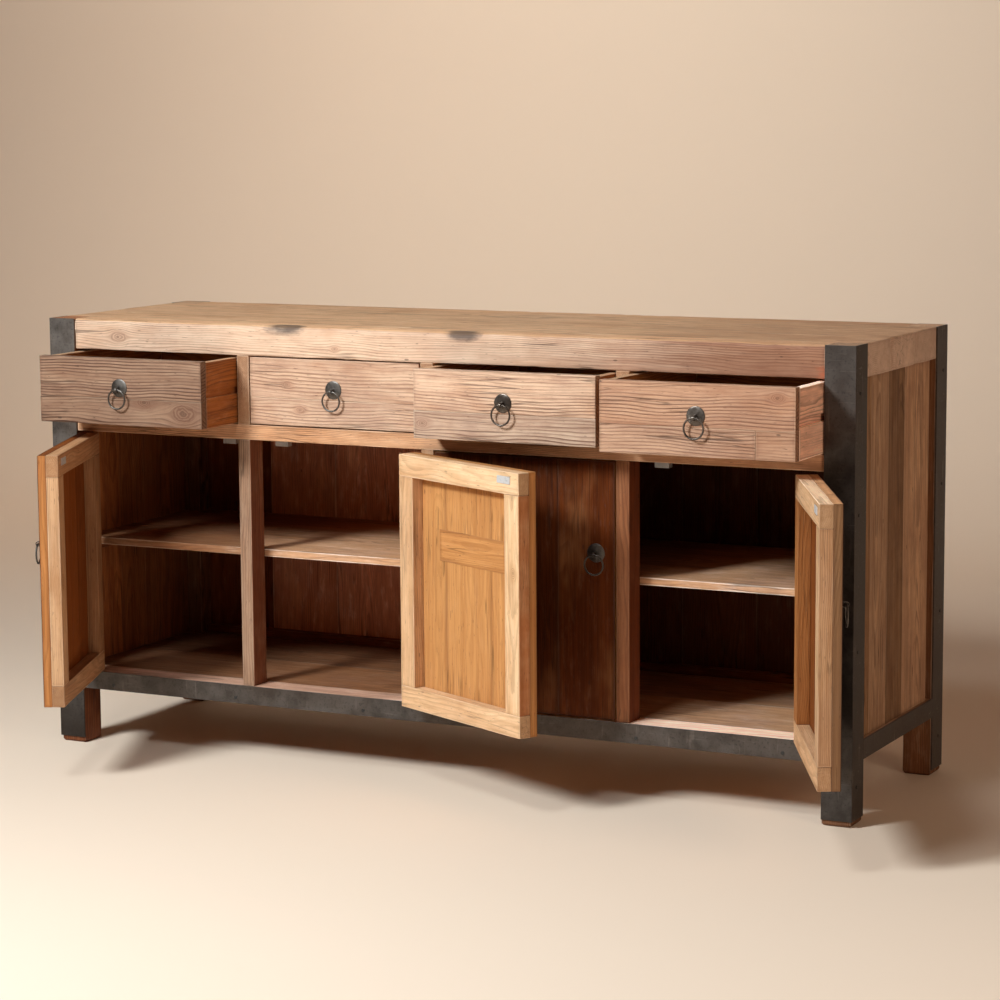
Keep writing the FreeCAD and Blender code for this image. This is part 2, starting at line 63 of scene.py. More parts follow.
for item in list(bpy.data.objects):
    if item.type != "EMPTY" and "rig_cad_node" not in item:
        bpy.data.objects.remove(item)
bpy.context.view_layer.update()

NODES = frame["nodes"]
BEHAVIOUR = frame["record"]["behaviour"]
BODY = {node: body for body, nodes in BEHAVIOUR["bodies"].items() for node in nodes}
SLOT = {row["node"]: row["material_slot"] for row in frame["record"]["subparts"]}
JOINT = {joint["name"]: joint for joint in frame["joints"]}
NUMBERS = (1, 2, 3, 4)
MM = 0.001


def door_frame(number):
    """From a shut door's own axes, with its hinge pin at the origin, to where it stands at rest."""
    pin = Vector(JOINT[f"door_{number}_hinge"]["pos_m"])
    axis = JOINT[f"door_{number}_ring_swing"]["axis"]
    return Matrix.Translation(pin) @ Matrix.Rotation(math.atan2(-axis[1], -axis[0]), 4, "Z")


OWN = {}
for number in NUMBERS:
    for body in (f"door_{number}", f"door_{number}_ring"):
        OWN[body] = door_frame(number)


def own_frame(node):
    return OWN.get(BODY[node], Matrix.Identity(4))


# ---------------------------------------------------------------- boards

BOX_FACES = 12  # triangles of a plain box


def solids(node):
    """The separate solids of a CAD node, each a list of faces: a solid ends where its open edges run out."""
    mesh = NODES[node].data
    back = own_frame(node).inverted()
    spots = [tuple(round(c, 6) for c in back @ vertex.co) for vertex in mesh.vertices]
    found, faces, open_edges = [], [], set()
    for polygon in mesh.polygons:
        corners = [spots[index] for index in polygon.vertices]
        faces.append(corners)
        for edge in zip(corners, corners[1:] + corners[:1]):
            if edge[::-1] in open_edges:
                open_edges.remove(edge[::-1])
            else:
                open_edges.add(edge)
        if not open_edges:
            found.append(faces)
            faces = []
    return found


def extent(solid):
    """The centre and half sizes of a solid."""
    points = [point for face in solid for point in face]
    low = Vector(map(min, zip(*points)))
    high = Vector(map(max, zip(*points)))
    return (low + high) / 2, (high - low) / 2


ARC = 1 - math.tan(math.pi / 8)  # where the middle of a rounded edge lies, as a share of its radius
FINE_STEP = 5 * MM  # spacing of the points across the thin sides of a board with a rolled edge
THIN = 50 * MM  # half sizes below this are thin
SAG = 0.35 * MM  # how far the faces are out of flat
ROLLED_SAG = 2.5  # times more where a board has a rolled edge
ZERO_LENGTH = 1e-9


def stations(half, edge, step):
    """Places along one axis of a board: on the rounded edges, and evenly between them."""
    inner = half - edge
    count = max(1, round(2 * inner / step))
    middle = [inner * (2 * n / count - 1) for n in range(count + 1)]
    return [-half, -half + ARC * edge] + middle + [half - ARC * edge, half]


def worn_radius(point, edge, wear, shift):
    """The radius of a worn edge at a point: broad wear with small chips in it."""
    broad = max(0.0, noise.noise(point * 14 + shift) + 0.25)
    chips = max(0.0, noise.noise(point * 55 + shift) - 0.32)
    return edge * (0.55 + wear * broad + wear * 2.2 * chips)


def hollow_at(along, place, length):
    """How deep a hollow still is at a place along the edge, from 1 in its middle to 0."""
    return math.exp(-((along - place) / length) ** 2)


def rolled_radius(along, roll, bites, shift):
    """The radius of a rolled edge, which wanders and is larger in the bites."""
    wander = Vector((along * 6, 0, 0))
    radius = roll * (0.9 + 0.55 * noise.noise(wander + shift) + 0.25 * noise.noise(wander * 6 + shift))
    return radius + sum(depth * hollow_at(along, place, length) for place, depth, length in bites)


def rounded_box(half, edge, step, seed, wear, roll=0.0, bites=()):
    """A board about the origin, with edges worn by uneven amounts and faces a little out of flat.

    roll is a larger radius along the upper front edge, and bites are hollows in it: a place along X,
    a depth and a half length.
    """
    grid = [stations(h, min(edge, h * 0.4), min(step, FINE_STEP) if roll and h < THIN else step)
            for h in half]
    last = [len(places) - 1 for places in grid]
    index, points, faces = {}, [], []
    shift = Vector((seed * 7.31 % 50, seed * 3.17 % 50, seed * 1.93 % 50))

    def vertex(key):
        if key not in index:
            point = Vector(grid[axis][key[axis]] for axis in range(3))
            rolled = roll and point.y < 0 and point.z > 0
            if rolled:
                radius = min(rolled_radius(point.x, roll, bites, shift), min(half) * 0.8)
            else:
                radius = min(worn_radius(point, edge, wear, shift), min(half) * 0.6)
            inner = Vector(max(radius - h, min(h - radius, c)) for c, h in zip(point, half))
            if rolled:
                inner.x = point.x
            away = point - inner
            if away.length > ZERO_LENGTH:
                point = inner + away.normalized() * radius
            sag = SAG * abs(noise.noise(point * 7 - shift)) * (ROLLED_SAG if roll else 1)
            point -= Vector(math.copysign(sag, c) if abs(c) > h - radius / 2 else 0
                            for c, h in zip(point, half))
            index[key] = len(points)
            points.append(point)
        return index[key]

    for axis in range(3):
        u, v = (axis + 1) % 3, (axis + 2) % 3
        for side in (0, last[axis]):
            for a in range(last[u]):
                for b in range(last[v]):
                    corners = [(a, b), (a + 1, b), (a + 1, b + 1), (a, b + 1)]
                    face = []
                    for pair in corners if side else corners[::-1]:
                        key = [0, 0, 0]
                        key[axis], key[u], key[v] = side, *pair
                        face.append(vertex(tuple(key)))
                    faces.append(face)
    return points, faces


def shaped(solid, centre, edge, step, seed, uneven=0.3 * MM):
    """A solid that isn't a plain box, with softened edges and faces a little out of flat."""
    bm = bmesh.new()
    made = {}
    for corners in solid:
        for corner in corners:
            if corner not in made:
                made[corner] = bm.verts.new(Vector(corner) - centre)
        bm.faces.new([made[corner] for corner in corners])
    bmesh.ops.dissolve_limit(bm, angle_limit=0.01, verts=bm.verts[:], edges=bm.edges[:])
    bmesh.ops.bevel(bm, geom=bm.edges[:], offset=edge, segments=2, profile=0.5, affect="EDGES",
                    clamp_overlap=True)
    for axis in range(3):
        reach = max(abs(vertex.co[axis]) for vertex in bm.verts) - 2 * edge
        count = int(2 * reach / step)
        for n in range(1, count):
            place = Vector()
            place[axis] = reach * (2 * n / count - 1)
            normal = Vector()
            normal[axis] = 1
            bmesh.ops.bisect_plane(bm, geom=bm.verts[:] + bm.edges[:] + bm.faces[:], plane_co=place,
                                   plane_no=normal, dist=1e-6)
    bm.normal_update()
    shift = Vector((seed % 31, seed % 17, seed % 23))
    for vertex in bm.verts:
        vertex.co -= vertex.normal * uneven * abs(noise.noise(vertex.co * 11 + shift))
    points = [vertex.co.copy() for vertex in bm.verts]
    bm.verts.index_update()
    faces = [[vertex.index for vertex in face.verts] for face in bm.faces]
    bm.free()
    return points, faces


class Look:
    """How one board differs from its neighbours.

    tone is its brightness, warm how orange it is, grey how weathered, and knots are up to two places
    on it, from -1 to 1 along and across, each with a radius in metres. rift is for a board sawn far
    from the pith. roll and bites shape its upper front edge, painted leaves paint on its lower half,
    and cut is where it is pieced together from two lengths. edges is how much darker its left and
    right sides are, and lines how strongly its rings show. inner, rim and crown are another tone,
    warm and grey for its front face, for its left and right sides and for its upper end. rise is how
    much lighter a metal bar is at its upper end.
    """

    def __init__(self, tone=1.0, warm=0.0, grey=0.0, knots=(), rift=False, roll=0.0, bites=(),
                 painted=False, cut=None, rise=0.0, edges=0.0, lines=1.0, inner=None, rim=None,
                 crown=None):
        self.tone, self.warm, self.grey, self.knots = tone, warm, grey, knots
        self.rift, self.roll, self.bites = rift, roll, bites
        self.painted, self.cut, self.rise, self.edges, self.lines = painted, cut, rise, edges, lines
        self.inner, self.rim, self.crown = inner, rim, crown


STAIN_REACH = 24 * MM
NO_KNOT = Vector((90, 90, 0))  # too far from a knot for it to show


def marks(point, half, look):
    """The stain in an edge's hollows, the share of paint, and how much darker the sides are."""
    corner = max(0.0, 1 - math.hypot(0.55 * (point.y + half.y), point.z - half.z) / STAIN_REACH)
    hollow = sum(hollow_at(point.x, place, length) for place, _, length in look.bites)
    paint = max(0.0, 0.3 - point.z / half.z) if look.painted else 0
    side = min(1.0, max(0.0, (abs(point.x) - half.x) / MM + 1.5))
    return Vector((min(1.0, 1.7 * corner * hollow), paint, look.edges * side))


def knot_place(knot, place, half):
    """A place on a board from the middle of a knot, in knot radii, and that radius."""
    if not knot:
        return NO_KNOT
    size = knot[2]
    return Vector((*((p / h - k) * h / size for p, h, k in zip(place, half, knot)), size))


def board(solid, seed, edge, wear, look, spread, step):
    """One board's mesh and what its material reads: place in the tree and on the board, tone, knots."""
    centre, half = extent(solid)
    order = sorted(range(3), key=lambda axis: -half[axis])
    if len(solid) == BOX_FACES:
        points, faces = rounded_box(half, edge, step, seed, wear, look.roll, look.bites)
    else:
        points, faces = shaped(solid, centre, edge * 0.6, step, seed)
    pick = random.Random(seed)
    tilt = pick.uniform(-0.03, 0.03)
    lean = pick.uniform(-0.02, 0.02)
    away = pick.uniform(0.10, 0.16) * pick.choice((-1, 1)) if look.rift else pick.uniform(-0.05, 0.05)
    pith = Vector((pick.uniform(0, 40), away, pick.uniform(0.03, 0.10)))
    tone = Vector((look.tone * pick.uniform(1 - spread, 1 + spread), look.warm + pick.uniform(-0.08, 0.08),
                   look.grey))
    inner, rim, crown = (Vector((other[0] * tone.x / look.tone, *other[1:])) if other else None
                         for other in (look.inner, look.rim, look.crown))
    names = ("grain", "local", "half", "board", "mark", "lines", "knot_a", "knot_b")
    rows = {name: [] for name in names}
    knots = list(look.knots) + [None] * (2 - len(look.knots))
    sizes = Vector([half[axis] for axis in order])
    for point in points:
        along, across, deep = (point[axis] for axis in order)
        rows["grain"].append(pith + Vector((along, across + tilt * along, deep + lean * along)))
        rows["local"].append(Vector((along, across, deep)))
        rows["half"].append(sizes)
        side = rim if abs(point.x) > half.x - MM else crown if point.z > half.z - MM else None
        rows["board"].append(side or (inner if point.y < 0 else None) or tone)
        rows["mark"].append(marks(point, half, look))
        rows["lines"].append(Vector((look.lines, 0, 0)))
        for name, knot in zip(("knot_a", "knot_b"), knots):
            rows[name].append(knot_place(knot, (along, across), sizes[:2]))
    return [point + centre for point in points], faces, rows


def plain_box(low, high):
    """A box from two of its corners, in the form that solids gives."""
    return [[tuple(low), tuple(high)]] * BOX_FACES


def lengths(solid, cut):
    """A board, or the two lengths that it is pieced together from."""
    if cut is None:
        return [solid]
    centre, half = extent(solid)
    axis = max(range(3), key=lambda n: half[n])
    low, high = centre - half, centre + half
    joint = centre[axis] + cut * half[axis]
    first, second = high.copy(), low.copy()
    first[axis], second[axis] = joint, joint
    return [plain_box(low, first), plain_box(second, high)]


def write_rows(piece, rows):
    """Keeps each list of vectors as an attribute of a piece's points."""
    for key, column in rows.items():
        attribute = piece.data.attributes.new(key, "FLOAT_VECTOR", "POINT")
        attribute.data.foreach_set("vector", [c for value in column for c in value])


def gather(node, looks, make):
    """The boards or bars of a CAD node, made one by one and joined as one piece that stands for it."""
    place = own_frame(node)
    points, faces, rows, pieces = [], [], {}, []
    for number, solid in enumerate(solids(node)):
        look = looks[number % len(looks)] if looks else Look()
        pieces += [(part, look) for part in lengths(solid, look.cut)]
    for number, (solid, look) in enumerate(pieces):
        seed = sum(ord(letter) * (n + 3) for n, letter in enumerate(node)) + 101 * number
        made, quads, values = make(solid, seed, look)
        start = len(points)
        points += [place @ point for point in made]
        faces += [[index + start for index in quad] for quad in quads]
        for key, column in values.items():
            rows.setdefault(key, []).extend(column)
    piece = mesh_piece(node + "_shape", points, faces)
    write_rows(piece, rows)
    even_shading(piece)
    finish_piece(piece, node)


SPREAD = 0.1  # how much the tones of neighbouring boards differ
BAR_STEP = 0.12
BAR_WEAR = 0.3


def wooden(node, *looks, edge=1.2 * MM, wear=1.0, step=0.045):
    gather(node, looks, lambda solid, seed, look: board(solid, seed, edge, wear, look, SPREAD, step))


def hard(node, *looks, edge=0.5 * MM):
    """Bars and plates of metal with softened edges; only a look's tone and rise count."""

    def bar(solid, seed, look):
        centre, half = extent(solid)
        if len(solid) == BOX_FACES:
            made, quads = rounded_box(half, edge, BAR_STEP, seed, BAR_WEAR)
        else:
            made, quads = shaped(solid, centre, edge, BAR_STEP, seed, 0.15 * MM)
        shades = [Vector((look.tone - 1 + look.rise * point.z / half.z, 0, 0)) for point in made]
        return [point + centre for point in made], quads, {"shade": shades}

    gather(node, looks, bar)


def mesh_piece(name, points, faces):
    mesh = bpy.data.meshes.new(name)
    mesh.from_pydata(points, [], faces)
    mesh.polygons.foreach_set("use_smooth", [True] * len(mesh.polygons))
    piece = bpy.data.objects.new(name, mesh)
    bpy.context.scene.collection.objects.link(piece)
    return piece


def even_shading(piece):
    piece.modifiers.new("even_shading", "WEIGHTED_NORMAL").weight = 50


def finish_piece(piece, node, replace=True):
    """Material, slot and body of a piece made from a CAD node, and whether it stands for that node."""
    piece.data.materials.clear()
    piece.data.materials.append(material(SLOT[node]))
    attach(piece, BODY[node])
    if replace:
        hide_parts(node)


# ---------------------------------------------------------------- ring pulls

def surface_of_rows(rows, closed_rows):
    """Points and faces of a skin through rows of points; each row is a closed loop."""
    wide = len(rows[0])
    points = [point for row in rows for point in row]
    faces = []
    for n in range(len(rows) if closed_rows else len(rows) - 1):
        m = (n + 1) % len(rows)
        for k in range(wide):
            j = (k + 1) % wide
            faces.append([n * wide + k, n * wide + j, m * wide + j, m * wide + k])
    if not closed_rows:
        faces.append([k for k in reversed(range(wide))])
        faces.append([(len(rows) - 1) * wide + k for k in range(wide)])
    return points, faces


# Sizes in this section are in millimetres: the plate's radius and height from its rim to its middle, and
# how far out and up the middle line of the strap runs.
DISC = ((18.4, 0.0), (18.5, 0.5), (18.0, 1.0), (16.6, 1.5), (12.5, 2.1), (6.0, 2.6), (2.0, 2.8))
DISC_SIDES = 40
STRAP = ((0.4, 6.4), (3.2, 5.0), (7.0, 4.6), (11.0, 4.4), (14.2, 2.9), (15.5, 0.0), (14.2, -3.0),
         (11.0, -4.3), (7.0, -4.3), (3.2, -4.2), (0.4, -5.0))
STRAP_SECTION = ((-1, -0.6), (-0.8, -1), (0.8, -1), (1, -0.6), (1, 0.6), (0.8, 1), (-0.8, 1), (-1, 0.6))
STRAP_WIDE = 5.0
STRAP_THICK = 1.3
EYE_OUT = 11.0
EYE_DROP = 2.5
RING = 19.5
RING_PARTS = 72
WIRE = 1.9
WIRE_SIDES = 12


def smooth_line(knots, times):
    """A smooth line through points in a plane."""
    line = [Vector(knot) for knot in knots]
    ends = [2 * line[0] - line[1]] + line + [2 * line[-1] - line[-2]]
    found = []
    for n in range(1, len(ends) - 2):
        for k in range(times):
            t = k / times
            a, b, c, d = ends[n - 1:n + 3]
            found.append(0.5 * (2 * b + (c - a) * t + (2 * a - 5 * b + 4 * c - d) * t * t
                                + (3 * b - a - 3 * c + d) * t ** 3))
    return found + [line[-1]]


def disc(seed):
    """The domed plate, hammered a little uneven."""
    rows = []
    for radius, out in DISC:
        row = []
        for n in range(DISC_SIDES):
            turn = n * math.tau / DISC_SIDES
            place = Vector((math.cos(turn) * radius, -out, math.sin(turn) * radius))
            place *= 1 - 0.012 * abs(noise.noise(place * 0.12 + Vector((seed, 0, 0))))
            place.y = min(place.y + 0.25 * noise.noise(place * 0.2 + Vector((0, seed, 0))), 0) if out else 0
            row.append(place)
        rows.append(row)
    return surface_of_rows(rows, False)


def strap():
    """The strap that stands out of the plate as an eye."""
    path = smooth_line(STRAP, 4)
    rows = []
    for n, spot in enumerate(path):
        ahead = (path[min(n + 1, len(path) - 1)] - path[max(n - 1, 0)]).normalized()
        side = Vector((-ahead.y, ahead.x))
        row = []
        for a, b in STRAP_SECTION:
            at = spot + side * b * STRAP_THICK / 2
            row.append(Vector((a * STRAP_WIDE / 2, -at.x, at.y - EYE_DROP)))
        rows.append(row)
    return surface_of_rows(rows, False)


def loose_ring(middle, seed):
    """The ring through the eye of a pull at the given place, a little out of round."""
    centre = middle + Vector((0, -EYE_OUT, -EYE_DROP - RING)) * MM
    rows = []
    for n in range(RING_PARTS):
        turn = n * math.tau / RING_PARTS
        radial = Vector((math.sin(turn), 0, math.cos(turn)))
        wander = noise.noise(radial * 1.3 + Vector((seed, 3, 1)))
        wire = WIRE * (0.97 + 0.05 * noise.noise(radial * 4 + Vector((1, seed, 2))))
        hub = radial * (RING - 0.35 * abs(wander) * (1 - math.cos(turn)))
        row = []
        for k in range(WIRE_SIDES):
            about = k * math.tau / WIRE_SIDES
            out = radial * wire * math.cos(about) + Vector((0, wire * math.sin(about), 0))
            row.append(centre + (hub + out) * MM)
        rows.append(row)
    return surface_of_rows(rows, True)


def pull(node, ring_node):
    """A domed plate with a strap eye, and the loose ring through it, on a front face."""
    spots = [point for solid in solids(node) for face in solid for point in face]
    low, high = Vector(map(min, zip(*spots))), Vector(map(max, zip(*spots)))
    middle = Vector(((low.x + high.x) / 2, high.y, (low.z + high.z) / 2))
    seed = sum(map(ord, node)) % 40
    points, faces = disc(seed)
    strap_points, strap_faces = strap()
    faces += [[index + len(points) for index in face] for face in strap_faces]
    points += strap_points
    place = own_frame(node)
    plate = mesh_piece(node + "_shape", [place @ (middle + point * MM) for point in points], faces)
    even_shading(plate)
    finish_piece(plate, node)

    points, faces = loose_ring(middle, seed)
    finish_piece(mesh_piece(ring_node + "_shape", [place @ point for point in points], faces), ring_node)


# ---------------------------------------------------------------- materials

class Net:
    """A material's nodes, with short ways to add them."""

    def __init__(self, name):
        self.material = bpy.data.materials.new(name)
        self.material.use_nodes = True
        self.tree = self.material.node_tree
        self.surface = self.tree.nodes["Principled BSDF"]

    def plug(self, socket, value):
        if isinstance(value, bpy.types.NodeSocket):
            self.tree.links.new(value, socket)
        elif value is not None:
            socket.default_value = value

    def add(self, kind, inputs=(), out=0, **settings):
        made = self.tree.nodes.new("ShaderNode" + kind)
        for key, value in settings.items():
            setattr(made, key, value)
        pairs = inputs.items() if isinstance(inputs, dict) else enumerate(inputs)
        for key, value in pairs:
            self.plug(made.inputs[key], value)
        return made.outputs[out]

    def attribute(self, name):
        return self.add("Attribute", out="Vector", attribute_name=name)

    def math(self, operation, *values):
        return self.add("Math", values, operation=operation)

    def plus(self, first, second):
        return self.math("ADD", first, second)

    def minus(self, first, second):
        return self.math("SUBTRACT", first, second)

    def times(self, first, second):
        return self.math("MULTIPLY", first, second)

    def swing(self, value, amount):
        """A value between 0 and 1 as a change of either sign."""
        return self.times(self.minus(value, 0.5), amount)

    def vector(self, operation, *values):
        out = "Value" if operation in ("LENGTH", "DOT_PRODUCT", "DISTANCE") else "Vector"
        return self.add("VectorMath", values, out=out, operation=operation)

    def scaled(self, vector, *factors):
        return self.vector("MULTIPLY", vector, factors)

    def moved(self, vector, factors, offset):
        return self.vector("ADD", self.scaled(vector, *factors), offset)

    def noise(self, vector, scale, detail, rough, warp=0.0):
        return self.add("TexNoise", {"Vector": vector, "Scale": scale, "Detail": detail, "Roughness": rough,
                                     "Distortion": warp}, out="Fac")

    def fade(self, value, low, high, start=0.0, end=1.0):
        """From start at low to end at high, with a smooth step between."""
        return self.add("MapRange", (value, low, high, start, end), interpolation_type="SMOOTHSTEP")

    def mix(self, factor, first, second, blend="MIX"):
        return self.add("Mix", {0: factor, 6: first, 7: second}, out=2, data_type="RGBA", blend_type=blend)

    def tinted(self, colour, tint):
        return self.mix(1.0, colour, tint, "MULTIPLY")

    def grey(self, value):
        return self.add("CombineXYZ", (value, value, value))

    def parts(self, vector):
        made = self.tree.nodes.new("ShaderNodeSeparateXYZ")
        self.plug(made.inputs[0], vector)
        return made.outputs[:3]

    def edge_distance(self):
        """How far a point on a board's face is from the nearest edge of that face."""
        away = self.vector("ABSOLUTE", self.attribute("local"))
        gap = self.vector("SUBTRACT", self.attribute("half"), away)
        x, y, z = self.parts(gap)
        middle = self.math("MINIMUM", self.math("MAXIMUM", x, y), z)
        return self.math("MAXIMUM", self.math("MINIMUM", x, y), middle)

    def relief(self, height, strength, depth):
        normal = self.add("Bump", {"Strength": strength, "Distance": depth, "Height": height})
        self.plug(self.surface.inputs["Normal"], normal)


def rgb(red, green, blue):
    return (red, green, blue, 1.0)


WHITE = rgb(1, 1, 1)


def knots_on(net, grain):
    """How near the nearer of a board's two knots is, and how far they push its rings aside."""
    knots = []
    for key in ("knot_a", "knot_b"):
        place_x, place_y, size = net.parts(net.attribute(key))
        wobble = net.swing(net.noise(grain, 48, 3, 0.6), 0.9)
        squared = net.plus(net.math("POWER", net.times(place_x, 0.6), 2.0), net.math("POWER", place_y, 2.0))
        bend = net.math("DIVIDE", net.times(place_y, size), net.math("MAXIMUM", squared, 1.0))
        knots.append((net.plus(net.math("SQRT", squared), wobble), bend))
    (near_a, bend_a), (near_b, bend_b) = knots
    return net.math("MINIMUM", near_a, near_b), net.plus(bend_a, bend_b)


def late_wood(net, grain, flow, ring, sharp, wave):
    """The dark late part of each ring about the pith."""
    sway = net.noise(net.scaled(grain, 2.4, 8, 8), 1, 2, 0.5)
    flutter = net.noise(net.scaled(grain, 11, 70, 70), 1, 2, 0.5)
    rolling = net.noise(net.moved(grain, (6, 14, 14), (9.0, 1.0, 4.0)), 1, 1.5, 0.5)
    radius = net.vector("LENGTH", net.scaled(flow, 0, 1, 1))
    for wander, amount in ((sway, 26 * MM), (flutter, 3.2 * MM), (rolling, wave)):
        radius = net.plus(radius, net.times(wander, amount))
    phase = net.math("FRACT", net.math("DIVIDE", radius, ring))
    late = net.times(net.fade(phase, sharp, 0.88), net.fade(phase, 1.0, 0.92))
    uneven = net.noise(net.moved(flow, (1.6, 26, 26), (7.0, 3.0, 1.0)), 1, 3, 0.6)
    return net.times(late, net.fade(uneven, 0.3, 0.62, 0.15, 1.0))


def knot_colours(net, colour, near, pale, deep):
    """A board's colour with its knots: dark rings and a darker heart, in a shaded surround."""
    whorl = net.math("SINE", net.times(near, 21.0))
    core = net.fade(near, 1.05, 0.85)
    ringed = net.mix(net.fade(whorl, -0.5, 0.8), net.mix(0.35, deep, rgb(0.16, 0.07, 0.04)),
                     net.mix(0.6, pale, deep))
    heart = net.fade(near, 0.42, 0.15, 0.0, 0.6)
    ringed = net.mix(heart, ringed, rgb(0.12, 0.05, 0.025))
    colour = net.mix(net.fade(near, 2.3, 1.0, 0.0, 0.35), colour, deep)
    return net.mix(net.times(core, 0.65), colour, ringed)


WOOD_ROUGH = 0.62


def wood(name, light, dark, front=None, upper=None, ring=3.2 * MM, sharp=0.35, figure=0.6, streaks=0.5,
         mottle=0.4, stains=0.5, weather=0.25, rubbed=0.35, dirt=0.3, cracks=0.6, raised=0.5, wave=10 * MM,
         ageing=None, paint=None, shine=0.3):
    """Old pine: rings about the tree's pith, fibres along it, knots, splits, stains and rubbed edges.

    light and dark are its two colours, and front and upper are others for a board's front face and for
    its top. ring is the rings' spacing, sharp where in a ring its dark part starts, wave how far the
    rings wander and figure how strongly they show. ageing is where along a board a tint
    starts and is full, and the tint, which paints light and shade along the board and on the top also
    gives a redder wood; paint is where a remnant of paint starts and is full, and its colour.
    """
    net = Net(name)
    grain, local = net.attribute("grain"), net.attribute("local")
    tone, warm, grey = net.parts(net.attribute("board"))
    grain_x, grain_y, grain_z = net.parts(grain)
    near, bend = knots_on(net, grain)
    flow = net.add("CombineXYZ", (grain_x, net.minus(grain_y, bend), grain_z))
    late = late_wood(net, grain, flow, ring, sharp, wave)

    fibre = net.noise(net.scaled(flow, 9, 430, 430), 1, 3, 0.65)
    ribbon = net.noise(net.scaled(flow, 2.4, 75, 75), 1, 3, 0.62)
    cloud = net.noise(grain, 7, 4, 0.62)
    patchy = net.noise(net.moved(flow, (16, 60, 60), (2.0, 5.0, 8.0)), 1, 4, 0.7)
    blotch = net.noise(net.scaled(grain, 6, 20, 20), 1, 4, 0.68)

    facing = net.parts(net.add("NewGeometry", out="Normal"))[2]
    facing = net.plus(facing, net.swing(cloud, 0.7))
    facing = net.fade(facing, 0.45, 0.85)

    from_front = net.plus(net.parts(net.attribute("half"))[2], net.parts(local)[2])

    def pair(first, which):
        made = rgb(*first)
        if front:
            made = net.mix(net.fade(from_front, 2.2 * MM, 0.8 * MM), made, rgb(*front[which]))
        if upper:
            made = net.mix(facing, made, rgb(*upper[which]))
        return made

    pale, deep = pair(light, 0), pair(dark, 1)
    shadow = net.tinted(deep, rgb(0.45, 0.40, 0.36))
    colour = net.mix(net.fade(ribbon, 0.34, 0.7, 0.0, streaks * 0.8), pale, deep)
    colour = net.mix(net.fade(patchy, 0.42, 0.78, 0.0, mottle), colour, deep)
    colour = net.mix(net.fade(patchy, 0.5, 0.28, 0.0, mottle * 0.5), colour,
                     net.mix(0.5, pale, rgb(0.92, 0.74, 0.56)))
    colour = net.mix(net.fade(cloud, 0.42, 0.72, 0.0, weather), colour,
                     net.mix(0.45, deep, rgb(0.33, 0.22, 0.20)))
    amber = net.noise(net.moved(grain, (5, 12, 12), (1.0, 1.0, 6.0)), 1, 3, 0.6)
    colour = net.mix(net.fade(amber, 0.48, 0.75, 0.0, 0.5), colour, net.mix(0.5, deep, rgb(0.60, 0.25, 0.09)))
    colour = net.mix(net.fade(fibre, 0.40, 0.70, 0.0, 0.32), colour, deep)
    lines = net.times(net.parts(net.attribute("lines"))[0], figure)
    colour = net.mix(net.times(late, lines), colour, shadow)
    grime = net.fade(blotch, 0.54, 0.80, 0.0, stains)
    colour = net.mix(grime, colour, net.mix(0.35, deep, rgb(0.06, 0.042, 0.036)))
    fleck = net.noise(net.moved(flow, (60, 420, 420), (4.0, 4.0, 1.0)), 1, 2, 0.5)
    colour = net.mix(net.fade(fleck, 0.66, 0.74, 0.0, 0.55), colour, rgb(0.09, 0.045, 0.03))

    colour = knot_colours(net, colour, near, pale, deep)

    split = net.noise(net.moved(flow, (1.7, 52, 52), (3.0, 9.0, 2.0)), 1, 2.5, 0.5)
    line = net.fade(net.math("ABSOLUTE", net.minus(split, 0.5)), 0.020, 0.004)
    where = net.fade(net.noise(net.vector("ADD", grain, (5.0, 5.0, 5.0)), 6, 1, 0.5), 0.52, 0.6)
    crack = net.times(net.times(line, where), 0.85 * cracks)
    pins = net.add("TexVoronoi", {"Vector": net.scaled(grain, 9, 24, 24), "Scale": 1.0}, out="Distance")
    pin = net.fade(pins, 0.055, 0.035, 0.0, cracks)

    edge = net.edge_distance()
    rough_edge = net.plus(edge, net.swing(cloud, -9 * MM))
    colour = net.mix(net.fade(rough_edge, 9 * MM, 1 * MM, 0.0, dirt), colour,
                     net.mix(0.3, deep, rgb(0.05, 0.03, 0.02)))
    worn = net.fade(rough_edge, 2.4 * MM, 0.2 * MM, 0.0, rubbed)
    colour = net.mix(worn, colour, net.mix(0.5, pale, rgb(0.90, 0.72, 0.54)))
    ends = net.minus(net.parts(net.attribute("half"))[0], net.math("ABSOLUTE", net.parts(local)[0]))
    cut_end = net.times(net.fade(ends, 1.4 * MM, 0.5 * MM, 0.0, 0.35), net.fade(facing, 0.0, 1.0, 1.0, 0.2))
    colour = net.mix(cut_end, colour, shadow)

    hollow, painted, edges = net.parts(net.attribute("mark"))
    ragged = net.times(net.minus(net.plus(patchy, blotch), 1.0), 1.3)
    hollow = net.times(net.plus(hollow, ragged), net.fade(hollow, 0.05, 0.25))
    colour = net.mix(net.fade(hollow, 0.15, 0.95, 0.0, 0.82), colour, rgb(0.05, 0.036, 0.031))
    # A tint along the board: painted light where light reaches a bay on the shelves; on the top, a redder wood
    # and painted shade to the right.
    if ageing:
        start, full, tint_colour = ageing
        along = net.plus(net.parts(local)[0], net.swing(ribbon, 0.35))
        share = net.times(net.fade(along, start, full), net.fade(ends, 0.9 * MM, 2.2 * MM, 0.0, 1.0))
        if upper:
            share = net.times(share, net.fade(facing, 0.0, 1.0, 1.0, 0.35))
        colour = net.tinted(colour, net.mix(share, WHITE, rgb(*tint_colour)))
    if paint:
        start, full, shade = paint
        along = net.plus(net.parts(local)[0], net.swing(patchy, 0.05))
        share = net.times(net.fade(along, start, full), net.fade(ends, 0.6 * MM, 1.8 * MM))
        low = net.plus(painted, net.swing(patchy, 1.2))
        share = net.times(share, net.fade(low, 0.4, 0.9, 0.0, 0.85))
        colour = net.mix(share, colour, rgb(*shade))

